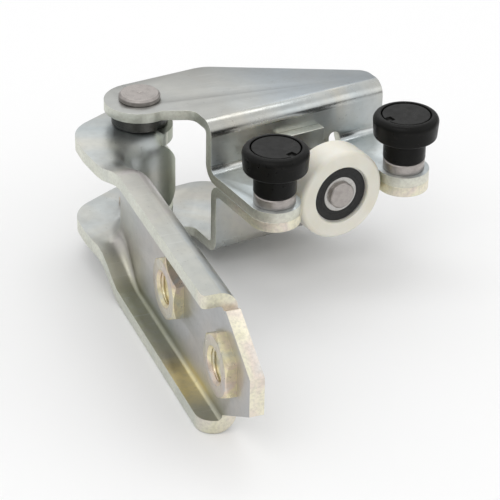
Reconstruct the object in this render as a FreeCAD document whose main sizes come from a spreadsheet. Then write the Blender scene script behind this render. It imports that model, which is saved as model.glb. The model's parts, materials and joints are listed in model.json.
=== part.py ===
import FreeCAD
import Part
import Sketcher
import math
import operator
import os
from types import SimpleNamespace

# Sliding door roller: a pressed steel arm bolted to the door, hinged about a vertical pin to a roller
# carriage with two upright guide rollers and one load roller.
#
# The arm is fixed. Its door face is the plane X = 0, the two threaded holes are at Z = 0 on either side
# of Y = 0, and the arm runs from the hinge at +Y to its tip at -Y. The carriage is drawn in a frame of
# its own, with the hinge pin as its Z axis, its rail direction along +X and its rollers at -Y, and is
# then turned about the pin by "swing".

V = FreeCAD.Vector
doc = FreeCAD.newDocument("sliding_door_roller")
dims = doc.addObject("Spreadsheet::Sheet", "Dims")

SIZES = {
    # arm pressing
    "arm_sheet": 4.5,
    "arm_top": 22.7,             # top of the upper flange
    "arm_bottom": -25.6,         # underside of the lower flange
    "arm_bend": 6.0,             # outside radius of the channel's bends
    "arm_flange": 11.0,          # flange width at the door end
    "arm_flange_wide": 14.3,     # flange width beside the hinge
    "flange_end_y": -20.6,
    "upper_end_rad": 1.5,        # free corner at the end of each flange
    "lower_end_rad": 5.8,
    "tip_y": -42.4,
    "tip_half": 6.2,             # half height of the tip's end face
    "tip_root_up": 17.6,         # height at which the tip's upper slope starts
    "tip_root_down": 19.4,       # depth at which its lower slope starts
    "tip_shoulder": 2.0,         # the upper slope starts this far past the flange
    "taper_start_y": 56.0,       # the flange has its door-end width from here on
    "ramp_end_y": 56.0,          # the channel has its full height from here on
    "wide_end_y": 84.0,
    # hinge
    "pivot_x": 9.7,
    "pivot_y": 98.2,
    "swing": 9.45,               # degrees from the arm's square position
    "lobe_top": 18.9,            # top of the arm's upper hinge lobe
    "lobe_bottom": -15.8,        # underside of its lower hinge lobe
    "lobe_rad": 12.8,
    "lobe_bend": 9.0,            # outside radius of the drawn bend around the hinge
    "neck_rad": 12.0,            # hollow curve between the arm and the hinge wrap
    "wrap_angle": 43.0,          # degrees of wall that wraps the hinge
    "lobe_flat": 14.0,           # degrees of wrap after which the lobes are flat to their edge
    "wall_reach": 4.0,           # the wall meets the lobes out to this far from the hinge axis
    "wall_edge": 10.0,           # and its free edge stands this far out
    "wall_slope": 10.6,          # height of the rounding between the two
    "wall_rad": 12.0,
    "back_angle": 120.6,         # direction that the lobe's straight back edge faces
    "back_length": 12.3,
    "heel_rad": 14.0,            # rounded outer corner of the lobes
    "pin_rad": 5.0,
    "pin_head_rad": 6.9,
    "pin_head": 2.25,
    "pin_tail": 2.2,             # pin below the lower carriage plate
    "bush_wall": 2.0,
    "bush_proud": 1.0,           # bush past the inner face of its lobe
    "collar_rad": 9.4,
    "clip_rad": 8.0,
    "clip_thick": 1.0,
    "clip_groove": 0.8,
    "run_gap": 0.04,             # radial clearance of a running fit
    "face_gap": 0.05,            # end clearance between faces that turn on each other
    # threaded inserts
    "hole_pitch": 45.6,
    "thread_rad": 5.1,           # M12 minor radius
    "mouth_rad": 6.1,
    "hex_flats": 19.0,
    "hex_thick": 3.6,
    "pilot_rad": 7.5,
    "pilot_short": 0.3,          # the pilot stops short of the door face
    # carriage brackets
    "sheet": 3.5,
    "plate_top": 27.1,
    "shelf_top": 9.5,
    "lower_top": -16.3,          # top of the lower hinge plate
    "web_front": -28.1,
    "bend_out": 5.0,
    "shelf_bend": 2.5,           # inside radius between web and shelf
    "lug_rad": 11.8,             # carriage plates around the hinge pin
    "front_cut": -16.4,          # where the plates' front edge meets the web's left edge
    "neck_x": 1.9,               # where the straight front edge leaves the lug's circle
    "knee_x": 30.2,              # end of the back edge that runs with the rail
    "corner_y": -17.1,           # right corner of the top plate
    "lower_corner_x": 60.0,      # right corner of the lower plate
    "lower_corner_rise": 3.0,    # and how far behind the bend it stands
    "front_corner_rad": 4.0,     # hollow corner between a plate's front edge and its web
    "knee_rad": 12.0,
    "right_corner_rad": 5.0,
    "guide_y": -54.4,
    "guide_left": 19.84,
    "guide_pitch": 49.4,
    "ear_rad": 8.5,              # rounded ears under the guide rollers
    "tab_half": 12.2,            # half width of the web's middle tab
    "tab_bottom": -2.5,
    "dome_top": 13.1,            # top of the round-ended relief slots
    "tongue_half": 8.0,          # upright tongue of the lower bracket, behind the roller opening
    "tongue_top": 17.8,
    "tongue_root": -6.0,
    "gusset_left": 50.0,         # sloping edge at the right end of the lower bracket's web
    "gusset_foot": -2.0,
    "gusset_end": 3.0,
    # load roller
    "axle_z": 5.76,
    "tyre_rad": 15.5,
    "tyre_wide": 10.4,
    "tyre_round": 1.2,
    "tyre_proud": 1.14,          # tyre in front of the bearing
    "seat_lip": 9.9,             # the tyre is moulded round the bearing, with a lip over each end
    "bearing_wide": 7.0,
    "bearing_rad": 11.0,
    "bearing_bore": 4.0,
    "inner_rad": 6.05,
    "outer_land": 8.9,
    "seal_rad": 9.5,
    "ball_rad": 1.985,
    "ball_circle": 7.5,
    "ball_count": 7,
    "cage_half": 0.6,            # half the cage ring's wall
    "cage_high": 4.6,
    "seal_thick": 0.6,
    "spacer_rad": 6.0,
    "spacer_length": 16.26,
    "axle_head_rad": 4.45,
    "axle_head": 1.5,
    "rivet_rad": 5.6,
    "rivet_head": 1.6,
    # guide rollers, heights above the shelf
    "guide_pin_rad": 4.0,
    "journal_rad": 3.75,
    "flange_rad": 6.85,
    "flange_high": 3.45,
    "roller_base": 3.6,
    "hub_rad": 7.0,
    "hub_top": 11.4,
    "disc_rad": 11.0,
    "disc_edge": 10.1,
    "disc_top": 19.4,
    "disc_round": 1.7,
    "bush_rad": 5.2,
    "bush_top": 15.5,
    "cap_seat": 16.8,
    "cap_step": 17.8,
    "cap_top": 19.1,
    "cap_rad": 8.3,
    "cap_face": 7.8,
    "ring_rad": 6.2,
    "ring_thick": 0.9,
    "ring_play": 0.1,            # height between the bush and its retaining ring
    "well_gap": 0.5,             # room around the retaining ring
    "notch_half": 1.4,           # moulded notch at the rim of the cap
    "notch_run": 2.4,
    "notch_deep": 0.6,
    "edge": 0.5,                 # small turned chamfers
}
MARGIN = 5        # how far a cutting shape runs past what it cuts
SEAM = 1          # how far two stretches of one pressing lap each other
REACH = 60        # farther than any edge of a pressing lies from its bends
FAR = 200         # beyond the whole roller
NOTCH_TURN = {"left": -74, "right": -176}     # degrees: which way each cap happens to be turned
for row, (alias, value) in enumerate(SIZES.items(), start=1):
    dims.set("A%d" % row, alias)
    dims.set("B%d" % row, str(value))
    dims.setAlias("B%d" % row, alias)
doc.recompute()


class Size:
    """A number that also knows the expression, in the sheet's names, that gives it."""

    def __init__(self, value, expression=None):
        self.value = float(value)
        self.expression = expression or str(value)

    def __add__(self, other):
        return combine(self, "+", other)

    def __radd__(self, other):
        return combine(other, "+", self)

    def __sub__(self, other):
        return combine(self, "-", other)

    def __rsub__(self, other):
        return combine(other, "-", self)

    def __mul__(self, other):
        return combine(self, "*", other)

    def __rmul__(self, other):
        return combine(other, "*", self)

    def __truediv__(self, other):
        return combine(self, "/", other)

    def __neg__(self):
        return combine(0, "-", self)


OPERATIONS = {"+": operator.add, "-": operator.sub, "*": operator.mul, "/": operator.truediv}


def size(thing):
    return thing if isinstance(thing, Size) else Size(thing)


def num(thing):
    return size(thing).value


def combine(left, sign, right):
    value = OPERATIONS[sign](num(left), num(right))
    return Size(value, "(%s %s %s)" % (size(left).expression, sign, size(right).expression))


def root(square):
    return Size(math.sqrt(square.value), "sqrt(%s)" % square.expression)


def cosine(degrees):
    return Size(math.cos(math.radians(degrees.value)), "cos(%s * 1 deg)" % degrees.expression)


def sine(degrees):
    return Size(math.sin(math.radians(degrees.value)), "sin(%s * 1 deg)" % degrees.expression)


def arc_cosine(ratio):
    return Size(math.degrees(math.acos(ratio.value)), "(acos(%s) / 1 deg)" % ratio.expression)


def between(start, end, share):
    return start + (end - start) * share


def bind(thing, place, value):
    """Bind one of an object's sizes to the sheet."""
    thing.setExpression(place, size(value).expression)


d = SimpleNamespace(**{alias: Size(value, "Dims." + alias) for alias, value in SIZES.items()})


def new_body(label):
    body = doc.addObject("PartDesign::Body", label)
    body.Label = label
    return body


def new_sketch(body, name, plane, offset=0, centre_x=0, turn=0):
    """Sketch on one of the body's origin planes. offset is along the plane's normal; centre_x and turn
    (degrees about the vertical) move an upright sketch's vertical axis."""
    origin = [item for item in body.Origin.OriginFeatures if item.Role == plane + "_Plane"][0]
    sketch = body.newObject("Sketcher::SketchObject", name)
    sketch.AttachmentSupport = [(origin, "")]
    sketch.MapMode = "FlatFace"
    sketch.AttachmentOffset = FreeCAD.Placement(V(0, 0, 0), FreeCAD.Rotation(V(0, 1, 0), num(turn)))
    bind(sketch, "AttachmentOffset.Base.x", centre_x)
    bind(sketch, "AttachmentOffset.Base.z", offset)
    return sketch


def pin_point(sketch, geometry, end, x, y):
    """Hold one end of a sketch element at (x, y)."""
    for axis, kind, place in ((-2, "DistanceX", x), (-1, "DistanceY", y)):
        if abs(num(place)) < 1e-9:
            sketch.addConstraint(Sketcher.Constraint("PointOnObject", geometry, end, axis))
            continue
        index = sketch.addConstraint(Sketcher.Constraint(kind, -1, 1, geometry, end, num(place)))
        bind(sketch, "Constraints[%d]" % index, place)


def outline(sketch, points):
    """Closed outline. Each point is (x, y) or (x, y, radius): a radius makes the stretch that ends at
    that point an arc, positive when it runs anticlockwise and negative when it runs clockwise."""
    first = sketch.GeometryCount
    spots = [(num(point[0]), num(point[1])) for point in points]
    count = len(points)
    for i in range(count):
        end = (i + 1) % count
        (ax, ay), (bx, by) = spots[i], spots[end]
        if len(points[end]) == 2:
            sketch.addGeometry(Part.LineSegment(V(ax, ay, 0), V(bx, by, 0)))
            continue
        radius = num(points[end][2])
        if radius < 0:
            (ax, ay), (bx, by) = (bx, by), (ax, ay)
        size = abs(radius)
        chord = math.hypot(bx - ax, by - ay)
        rise = math.sqrt(max(size * size - chord * chord / 4, 0))
        centre = V((ax + bx) / 2 - (by - ay) / chord * rise, (ay + by) / 2 + (bx - ax) / chord * rise, 0)
        if len(points[end]) == 4:       # the long way round
            centre = V(ax + bx, ay + by, 0) - centre
        start = math.atan2(ay - centre.y, ax - centre.x)
        stop = math.atan2(by - centre.y, bx - centre.x)
        circle = Part.Circle(centre, V(0, 0, 1), size)
        sketch.addGeometry(Part.ArcOfCircle(circle, start, stop if stop > start else stop + 2 * math.pi))
    for i in range(count):
        before = (i - 1) % count
        head = 2 if len(points[(i + 1) % count]) > 2 and num(points[(i + 1) % count][2]) < 0 else 1
        tail = 1 if len(points[i]) > 2 and num(points[i][2]) < 0 else 2
        sketch.addConstraint(Sketcher.Constraint("Coincident", first + before, tail, first + i, head))
        pin_point(sketch, first + i, head, points[i][0], points[i][1])
    for i in range(count):
        end = points[(i + 1) % count]
        if len(end) > 2:
            index = sketch.addConstraint(Sketcher.Constraint("Radius", first + i, abs(num(end[2]))))
            bind(sketch, "Constraints[%d]" % index, end[2] if num(end[2]) > 0 else -end[2])
    return sketch


def circle(sketch, x, y, radius):
    index = sketch.addGeometry(Part.Circle(V(num(x), num(y), 0), V(0, 0, 1), num(radius)))
    pin_point(sketch, index, 3, x, y)
    held = sketch.addConstraint(Sketcher.Constraint("Radius", index, num(radius)))
    bind(sketch, "Constraints[%d]" % held, radius)
    return sketch


def box(sketch, low_x, low_y, high_x, high_y):
    return outline(sketch, [(low_x, low_y), (high_x, low_y), (high_x, high_y), (low_x, high_y)])


def extrude(body, kind, name, sketch, length, reverse=False):
    feature = body.newObject("PartDesign::" + kind, name)
    feature.Profile = sketch
    bind(feature, "Length", length)
    feature.Reversed = reverse
    sketch.Visibility = False
    return feature


def pad(body, name, sketch, length, reverse=False):
    return extrude(body, "Pad", name, sketch, length, reverse)


def cut(body, name, sketch, length, reverse=False):
    return extrude(body, "Pocket", name, sketch, length, reverse)


def revolve(body, name, sketch, angle=360, reverse=False, kind="Revolution"):
    feature = body.newObject("PartDesign::" + kind, name)
    feature.Profile = sketch
    feature.ReferenceAxis = (sketch, ["V_Axis"])
    bind(feature, "Angle", angle)
    feature.Reversed = reverse
    return feature


def turned(label, points):
    """Body of revolution about its own Z axis, from a half section of (radius, height) points."""
    body = new_body(label)
    revolve(body, label + "_turn", outline(new_sketch(body, label + "_section", "XZ"), points))
    return body


def upright_edges(feature, corners, side):
    """Names of the edges along Z that stand at the given (x, y) corners; side is +1 for those above
    Z = 0 alone, -1 for those below it and 0 for all."""
    doc.recompute()
    names = []
    for number, edge in enumerate(feature.Shape.Edges, start=1):
        a, b = edge.Vertexes[0].Point, edge.Vertexes[-1].Point
        if abs(a.x - b.x) > 1e-5 or abs(a.y - b.y) > 1e-5 or abs(a.z - b.z) < 0.5:
            continue
        if side * (a.z + b.z) < 0:
            continue
        if any(math.hypot(a.x - num(x), a.y - num(y)) < 0.01 for x, y in corners):
            names.append("Edge%d" % number)
    return names


def round_corners(body, name, radius, corners, side=0):
    base = body.Tip
    feature = body.newObject("PartDesign::Fillet", name)
    feature.Base = (base, upright_edges(base, corners, side))
    bind(feature, "Radius", radius)
    return feature


def seat(body, x=0, y=0, z=0, forward=False, spin=0):
    """Place a carriage piece: (x, y, z) is in the carriage's frame, and forward lays the piece's own
    axis along the load roller's axle, towards the front. spin turns it first about its own axis."""
    turn = FreeCAD.Rotation(V(0, 0, 1), num(d.swing))
    spot = V(num(d.pivot_x), num(d.pivot_y), 0) + turn.multVec(V(num(x), num(y), num(z)))
    lay = FreeCAD.Rotation(V(1, 0, 0), 90) if forward else FreeCAD.Rotation(V(0, 0, 1), spin)
    body.Placement = FreeCAD.Placement(spot, turn.multiply(lay))
    return body


# ---------------------------------------------------------------- arm

def channel(sketch, face, lip, top, bottom, bend):
    """C section of the arm: its wall's outer face at x = face and its two flanges reaching to x = lip."""
    wall = face - d.arm_sheet
    turn = face - bend
    inner = bend - d.arm_sheet
    return outline(sketch, [
        (lip, top), (lip, top - d.arm_sheet),
        (turn, top - d.arm_sheet), (wall, top - bend, -inner),
        (wall, bottom + bend), (turn, bottom + d.arm_sheet, -inner),
        (lip, bottom + d.arm_sheet), (lip, bottom),
        (turn, bottom), (face, bottom + bend, bend),
        (face, top - bend), (turn, top, bend)])


# the hollow neck curve is tangent to the door face and to the hinge wrap
NECK_X = d.neck_rad
NECK_REACH = d.neck_rad + d.lobe_rad
NECK_SIDE = d.neck_rad - d.pivot_x
NECK_Y = d.pivot_y - root(NECK_REACH * NECK_REACH - NECK_SIDE * NECK_SIDE)
NECK_ANGLE = arc_cosine(NECK_SIDE / NECK_REACH)
RAMP_STEPS = 5


def arm_bracket():
    body = new_body("arm_bracket")
    # straight channel, then the ramp down to the hinge lobes
    straight = new_sketch(body, "channel_section", "XZ", -d.ramp_end_y)
    channel(straight, 0, -REACH, d.arm_top, d.arm_bottom, d.arm_bend)
    pad(body, "channel", straight, d.ramp_end_y - d.flange_end_y)
    sections = []
    for i in range(RAMP_STEPS + 1):
        way = i / RAMP_STEPS
        rise = way * way * (3 - 2 * way)        # level at both ends of the ramp
        section = new_sketch(body, "ramp_section_%d" % i, "XZ", -between(d.ramp_end_y, NECK_Y, way))
        channel(section, 0, -REACH, between(d.arm_top, d.lobe_top, rise),
                between(d.arm_bottom, d.lobe_bottom, rise), between(d.arm_bend, d.lobe_bend, rise))
        sections.append(section)
    ramp = body.newObject("PartDesign::AdditiveLoft", "ramp")
    ramp.Profile = sections[0]
    ramp.Sections = sections[1:]
    ramp.Ruled = True
    # neck curve about an axis outside the arm, then the wrap about the hinge axis
    neck = new_sketch(body, "neck_section", "XZ", -NECK_Y, NECK_X)
    channel(neck, -d.neck_rad, -REACH, d.lobe_top, d.lobe_bottom, d.lobe_bend)
    revolve(body, "neck", neck, NECK_ANGLE, reverse=True)
    wrap = new_sketch(body, "wrap_section", "XZ", -d.pivot_y, d.pivot_x, -NECK_ANGLE)
    channel(wrap, d.lobe_rad, 0, d.lobe_top, d.lobe_bottom, d.lobe_bend)
    revolve(body, "wrap", wrap, d.wrap_angle)
    # rest of each round lobe, past the end of the wall
    back_x = cosine(d.back_angle)
    back_y = sine(d.back_angle)
    for name, level in (("upper_lobe", d.lobe_top - d.arm_sheet), ("lower_lobe", d.lobe_bottom)):
        start = d.lobe_flat - NECK_ANGLE
        lobe = new_sketch(body, name + "_outline", "XY", level)
        outline(lobe, [
            (d.pivot_x, d.pivot_y),
            (d.pivot_x + d.lobe_rad * cosine(start), d.pivot_y + d.lobe_rad * sine(start)),
            (d.pivot_x + d.lobe_rad * back_x, d.pivot_y + d.lobe_rad * back_y, d.lobe_rad)])
        pad(body, name, lobe, d.arm_sheet)
    # end of the wrapped wall, rounded under each lobe
    beyond_x = d.pivot_x + d.lobe_rad + MARGIN
    for name, level, slope, radius in (
            ("upper", d.lobe_top - d.arm_sheet, -d.wall_slope, d.wall_rad),
            ("lower", d.lobe_bottom + d.arm_sheet, d.wall_slope, -d.wall_rad)):
        rounding = new_sketch(body, name + "_wall_end", "XZ", d.lobe_rad + MARGIN - d.pivot_y)
        outline(rounding, [
            (beyond_x, level), (beyond_x, level + slope), (d.pivot_x + d.wall_edge, level + slope),
            (d.pivot_x + d.wall_reach, level, radius)])
        cut(body, name + "_wall_trim", rounding, 2 * (d.lobe_rad + MARGIN))
    # plan shape of the flanges and lobes: everything between the outline and a wide frame goes
    heel_x = (d.pivot_x + (d.lobe_rad - d.heel_rad) * back_x - d.back_length * back_y)
    heel_y = (d.pivot_y + (d.lobe_rad - d.heel_rad) * back_y + d.back_length * back_x)
    plan = new_sketch(body, "plan_outline", "XY", d.arm_top + MARGIN)
    box(plan, -FAR, -FAR, FAR, FAR)
    outline(plan, [
        (REACH, -REACH), (REACH, d.pivot_y + REACH), (d.pivot_x, d.pivot_y + REACH),
        (d.pivot_x, d.pivot_y + d.lobe_rad),
        (d.pivot_x + d.lobe_rad * back_x, d.pivot_y + d.lobe_rad * back_y, d.lobe_rad),
        (heel_x + d.heel_rad * back_x, heel_y + d.heel_rad * back_y),
        (heel_x - d.heel_rad, heel_y, d.heel_rad),
        (-d.arm_flange_wide, d.wide_end_y), (-d.arm_flange, d.taper_start_y),
        (-d.arm_flange, -REACH)])
    cut(body, "plan_trim", plan, d.arm_top - d.arm_bottom + 2 * MARGIN)
    # the wall runs on past the flanges as a tapered tip
    tip = new_sketch(body, "tip_outline", "YZ")
    root_y = d.flange_end_y + MARGIN
    outline(tip, [
        (root_y, d.arm_top - d.arm_bend), (root_y, d.arm_bottom + d.arm_bend),
        (d.flange_end_y, -d.tip_root_down), (d.tip_y, -d.tip_half), (d.tip_y, d.tip_half),
        (d.flange_end_y - d.tip_shoulder, d.tip_root_up), (d.flange_end_y, d.arm_top - d.arm_bend)])
    pad(body, "tip", tip, d.arm_sheet, reverse=True)
    round_corners(body, "lower_flange_end", d.lower_end_rad, [(-d.arm_flange, d.flange_end_y)], -1)
    round_corners(body, "upper_flange_end", d.upper_end_rad, [(-d.arm_flange, d.flange_end_y)], 1)
    # bush seats through both lobes and pilot holes through the wall
    seats = circle(new_sketch(body, "bush_seats", "XY", d.arm_top + MARGIN), d.pivot_x, d.pivot_y,
                   d.pin_rad + d.run_gap + d.bush_wall)
    cut(body, "bush_bores", seats, d.arm_top - d.arm_bottom + 2 * MARGIN)
    holes = new_sketch(body, "pilot_holes", "YZ", MARGIN)
    circle(holes, d.hole_pitch / 2, 0, d.pilot_rad)
    circle(holes, -d.hole_pitch / 2, 0, d.pilot_rad)
    cut(body, "pilot_bores", holes, d.arm_sheet + 2 * MARGIN)
    return body


def thread_insert(label, y):
    """Hexagon insert: its pilot fills the wall's hole and its head bears on the inside of the wall."""
    body = new_body(label)
    head = new_sketch(body, label + "_hexagon", "YZ", -d.arm_sheet)
    corner = d.hex_flats / math.sqrt(3)
    outline(head, [(d.hex_flats / 2 * sx, corner * sz)
                   for sx, sz in ((0, 1), (-1, 0.5), (-1, -0.5), (0, -1), (1, -0.5), (1, 0.5))])
    pad(body, label + "_head", head, d.hex_thick, reverse=True)
    pilot = circle(new_sketch(body, label + "_pilot_circle", "YZ", -d.arm_sheet), 0, 0, d.pilot_rad)
    pad(body, label + "_pilot", pilot, d.arm_sheet - d.pilot_short)
    bore = circle(new_sketch(body, label + "_bore_circle", "YZ", MARGIN), 0, 0, d.thread_rad)
    cut(body, label + "_bore", bore, d.arm_sheet + d.hex_thick + 2 * MARGIN)
    mouth = new_sketch(body, label + "_mouth", "XY")
    depth = d.arm_sheet + d.hex_thick
    outline(mouth, [(-depth, 0), (-depth, d.mouth_rad),
                    (d.mouth_rad - depth - d.thread_rad, d.thread_rad),
                    (d.mouth_rad - depth - d.thread_rad, 0)])
    groove = body.newObject("PartDesign::Groove", label + "_countersink")
    groove.Profile = mouth
    groove.ReferenceAxis = (mouth, ["H_Axis"])
    groove.Angle = 360
    body.Placement = FreeCAD.Placement(V(0, num(y), 0), FreeCAD.Rotation())
    return body


def hinge_bush(label, level, up):
    """Bush pressed into one lobe: level is the lobe's outer face, up is +1 for the upper lobe."""
    bore = d.pin_rad + d.run_gap
    outer = bore + d.bush_wall
    tail = (d.arm_sheet + d.bush_proud) * -up
    body = turned(label, [(bore, 0), (outer, 0), (outer, tail), (bore, tail)])
    body.Placement = FreeCAD.Placement(V(num(d.pivot_x), num(d.pivot_y), num(level)), FreeCAD.Rotation())
    return body


# ---------------------------------------------------------------- carriage brackets

GUIDE_RIGHT = d.guide_left + d.guide_pitch
AXLE_X = d.guide_left + d.guide_pitch / 2
LEFT = d.guide_left - d.ear_rad
RIGHT = GUIDE_RIGHT + d.ear_rad
SLOT_LEFT = d.guide_left + d.ear_rad
SLOT_RIGHT = GUIDE_RIGHT - d.ear_rad
PLY_FRONT = d.web_front - d.sheet       # front of the lower bracket's web, in front of the upper one's
EAR_UNDER = d.shelf_top - d.sheet


def hinge_plate(body, name, level, front, right_corner):
    """Flat plate from a bracket's bend to its round hinge lug. right_corner is (x, y) on the right."""
    plate = new_sketch(body, name + "_outline", "XY", level)
    neck_y = -root(d.lug_rad * d.lug_rad - d.neck_x * d.neck_x)
    outline(plate, [
        (LEFT, front), (LEFT, d.front_cut), (d.neck_x, neck_y), (0, d.lug_rad, -d.lug_rad, "long"),
        (d.knee_x, d.lug_rad), right_corner, (right_corner[0], front)])
    pad(body, name, plate, d.sheet)


def ears(body, name, level):
    for side, x in (("left", d.guide_left), ("right", GUIDE_RIGHT)):
        ear = circle(new_sketch(body, "%s_%s_circle" % (name, side), "XY", level), x, d.guide_y, d.ear_rad)
        pad(body, "%s_%s" % (name, side), ear, d.sheet)


def carriage_holes(body, name, lowest):
    """Holes for the hinge pin and both guide pins, down through everything above the lowest level."""
    holes = new_sketch(body, name + "_circles", "XY", d.plate_top + MARGIN)
    circle(holes, 0, 0, d.pin_rad)
    circle(holes, d.guide_left, d.guide_y, d.guide_pin_rad)
    circle(holes, GUIDE_RIGHT, d.guide_y, d.guide_pin_rad)
    cut(body, name, holes, d.plate_top - lowest + 2 * MARGIN)


def axle_hole(body, name):
    hole = circle(new_sketch(body, name + "_circle", "XZ", -d.web_front - 2 * d.sheet), AXLE_X, d.axle_z,
                  d.bearing_bore)
    cut(body, name, hole, 4 * d.sheet, reverse=True)


def top_bracket():
    body = new_body("top_bracket")
    inner = d.bend_out - d.sheet
    plate_under = d.plate_top - d.sheet
    section = new_sketch(body, "top_section", "YZ", LEFT)
    plate_join = d.web_front + d.bend_out + SEAM
    outline(section, [
        (plate_join, d.plate_top), (d.web_front + d.bend_out, d.plate_top),
        (d.web_front, d.plate_top - d.bend_out, d.bend_out),
        (d.web_front, d.shelf_top + d.shelf_bend),
        (d.web_front - d.shelf_bend, d.shelf_top, -d.shelf_bend),
        (d.guide_y, d.shelf_top), (d.guide_y, EAR_UNDER), (d.web_front - d.shelf_bend, EAR_UNDER),
        (d.web_front + d.sheet, d.shelf_top + d.shelf_bend, d.shelf_bend + d.sheet),
        (d.web_front + d.sheet, d.plate_top - d.bend_out),
        (d.web_front + d.bend_out, plate_under, -inner), (plate_join, plate_under)])
    pad(body, "top_strip", section, RIGHT - LEFT)
    hinge_plate(body, "top_plate", plate_under, d.web_front + d.bend_out, (RIGHT, d.corner_y))
    round_corners(body, "top_front_corner", d.front_corner_rad, [(LEFT, d.front_cut)])
    round_corners(body, "top_knee", d.knee_rad, [(d.knee_x, d.lug_rad)])
    round_corners(body, "top_right_corner", d.right_corner_rad, [(RIGHT, d.corner_y)])
    ears(body, "top_ear", EAR_UNDER)
    # opening for the load roller, with round-ended relief slots beside the middle tab
    opening = new_sketch(body, "roller_opening", "XZ", -d.web_front - 4 * d.sheet)
    tab_left = AXLE_X - d.tab_half
    tab_right = AXLE_X + d.tab_half
    slot = (tab_left - SLOT_LEFT) / 2
    spring = d.dome_top - slot
    outline(opening, [
        (SLOT_LEFT, d.tab_bottom - MARGIN), (SLOT_RIGHT, d.tab_bottom - MARGIN), (SLOT_RIGHT, spring),
        (SLOT_RIGHT - slot, d.dome_top, slot), (SLOT_LEFT + slot, d.dome_top), (SLOT_LEFT, spring, slot)])
    cut(body, "opening_cut", opening, REACH, reverse=True)
    tab = new_sketch(body, "tab_outline", "XZ", -d.web_front - d.sheet)
    outline(tab, [
        (tab_left, d.tab_bottom), (tab_right, d.tab_bottom), (tab_right, spring),
        (tab_right + slot, d.dome_top, -slot), (tab_left - slot, d.dome_top), (tab_left, spring, -slot)])
    pad(body, "tab", tab, d.sheet)
    carriage_holes(body, "top_holes", EAR_UNDER)
    axle_hole(body, "top_axle_hole")
    return seat(body)


def lower_bracket():
    body = new_body("lower_bracket")
    inner = d.bend_out - d.sheet
    plate_join = PLY_FRONT + d.bend_out + SEAM
    section = new_sketch(body, "lower_section", "YZ", LEFT)
    outline(section, [
        (d.guide_y, EAR_UNDER), (d.guide_y, EAR_UNDER - d.sheet),
        (PLY_FRONT - inner, EAR_UNDER - d.sheet),
        (PLY_FRONT, EAR_UNDER - d.bend_out, -inner),
        (PLY_FRONT, d.lower_top - d.sheet + d.bend_out),
        (PLY_FRONT + d.bend_out, d.lower_top - d.sheet, d.bend_out),
        (plate_join, d.lower_top - d.sheet), (plate_join, d.lower_top),
        (PLY_FRONT + d.bend_out, d.lower_top),
        (d.web_front, d.lower_top + inner, -inner),
        (d.web_front, EAR_UNDER - d.bend_out),
        (PLY_FRONT - inner, EAR_UNDER, d.bend_out)])
    pad(body, "lower_strip", section, RIGHT - LEFT)
    hinge_plate(body, "lower_plate", d.lower_top - d.sheet, PLY_FRONT + d.bend_out,
                (d.lower_corner_x, PLY_FRONT + d.bend_out + d.lower_corner_rise))
    round_corners(body, "lower_front_corner", d.front_corner_rad, [(LEFT, d.front_cut)])
    round_corners(body, "lower_knee", d.knee_rad, [(d.knee_x, d.lug_rad)])
    ears(body, "lower_ear", EAR_UNDER - d.sheet)
    # the right end rises as a gusset, and the ears part around the load roller
    gusset = new_sketch(body, "gusset_outline", "XZ", -d.web_front - 8 * d.sheet)
    outline(gusset, [
        (d.gusset_left, d.lower_top - 2 * d.sheet), (RIGHT + MARGIN, d.lower_top - 2 * d.sheet),
        (RIGHT + MARGIN, d.gusset_foot), (RIGHT - d.gusset_end, d.gusset_foot)])
    cut(body, "gusset_cut", gusset, REACH, reverse=True)
    opening = new_sketch(body, "lower_opening", "XY", d.shelf_top)
    box(opening, SLOT_LEFT, d.guide_y - d.ear_rad - MARGIN, SLOT_RIGHT, d.web_front + SEAM)
    cut(body, "lower_opening_cut", opening, 2 * d.sheet + d.bend_out)
    tongue = new_sketch(body, "tongue_outline", "XZ", -d.web_front)
    box(tongue, AXLE_X - d.tongue_half, d.tongue_root, AXLE_X + d.tongue_half, d.tongue_top)
    pad(body, "tongue", tongue, d.sheet)
    carriage_holes(body, "lower_holes", d.lower_top - d.sheet)
    axle_hole(body, "lower_axle_hole")
    return seat(body)


# ---------------------------------------------------------------- hinge pin and its pieces

def hinge_pieces():
    head = d.plate_top + d.pin_head
    clip = d.lower_top - d.sheet
    foot = clip - d.pin_tail
    groove = d.pin_rad - d.clip_groove
    pin = turned("hinge_pin", [
        (0, foot), (d.pin_rad - d.edge, foot), (d.pin_rad, foot + d.edge),
        (d.pin_rad, clip - d.clip_thick), (groove, clip - d.clip_thick), (groove, clip),
        (d.pin_rad, clip), (d.pin_rad, d.plate_top), (d.pin_head_rad, d.plate_top),
        (d.pin_head_rad, head - d.edge), (d.pin_head_rad - d.edge, head), (0, head)])
    seat(pin)
    seat(turned("hinge_clip", [
        (groove, clip - d.clip_thick), (d.clip_rad, clip - d.clip_thick), (d.clip_rad, clip),
        (groove, clip)]))
    bore = d.pin_rad
    seat(turned("hinge_collar", [
        (bore, d.lobe_top + d.face_gap), (d.collar_rad, d.lobe_top + d.face_gap),
        (d.collar_rad, d.plate_top - d.sheet), (bore, d.plate_top - d.sheet)]))
    seat(turned("hinge_shim", [
        (bore, d.lower_top), (d.collar_rad, d.lower_top), (d.collar_rad, d.lobe_bottom - d.face_gap),
        (bore, d.lobe_bottom - d.face_gap)]))


# ---------------------------------------------------------------- load roller

BEARING_FRONT = d.spacer_length + d.bearing_wide
BEARING_MIDDLE = d.spacer_length + d.bearing_wide / 2


def track_depth(land):
    """Half width of the round ball track where it meets a ring's land."""
    track = d.ball_rad + d.run_gap
    side = land - d.ball_circle
    return root(track * track - side * side)


def inner_ring():
    half = track_depth(d.inner_rad)
    return turned("bearing_inner", [
        (d.bearing_bore, d.spacer_length), (d.bearing_bore, BEARING_FRONT), (d.inner_rad, BEARING_FRONT),
        (d.inner_rad, BEARING_MIDDLE + half), (d.inner_rad, BEARING_MIDDLE - half, d.ball_rad + d.run_gap),
        (d.inner_rad, d.spacer_length)])


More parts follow.
